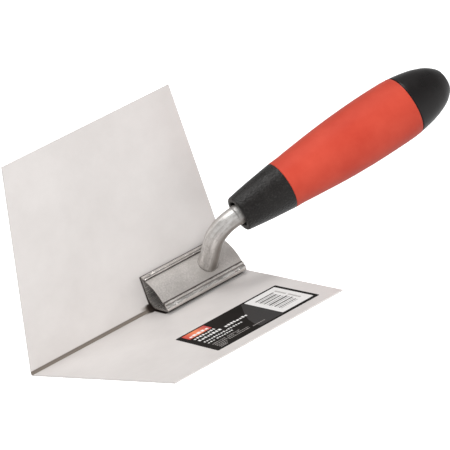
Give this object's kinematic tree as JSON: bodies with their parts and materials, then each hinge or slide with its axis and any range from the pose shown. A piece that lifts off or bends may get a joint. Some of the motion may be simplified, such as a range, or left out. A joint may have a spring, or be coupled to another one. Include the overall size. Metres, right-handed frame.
{
  "type": "inside corner trowel",
  "caption": "Inside corner trowel: a bent stainless sheet blade with two wings at a right angle, a clamped bracket, a cranked round tang and a soft-grip handle",
  "frame": {"origin": "the middle of the lying wing's outer face, half way along the bend and half way across the wing", "axes": "+X along the bend from the front tips towards the handle's tail, -Z out of the lying wing's outer face, +Y out of the upright wing's outer face"},
  "size_m": [0.2437, 0.1016, 0.1016],
  "materials": {
    "blade_steel": "finely ground stainless sheet",
    "bracket_steel": "grainy rolled sheet",
    "weld_steel": "dull weld metal",
    "tang_steel": "drawn and tumbled rod",
    "hard_plastic": "fine moulded grain",
    "soft_grip": "soft matte moulding",
    "cap_plastic": "satin moulding",
    "label_print": "printed film"
  },
  "bodies": {
    "root": {"blade": "blade_steel", "bracket_trough": "bracket_steel", "bracket_top_plate": "bracket_steel", "spot_welds": "weld_steel", "tang": "tang_steel", "tang_weld": "weld_steel", "handle_core": "hard_plastic", "grip_sleeve": "soft_grip", "tail_cap": "cap_plastic", "label": "label_print"}
  },
  "joints": []
}
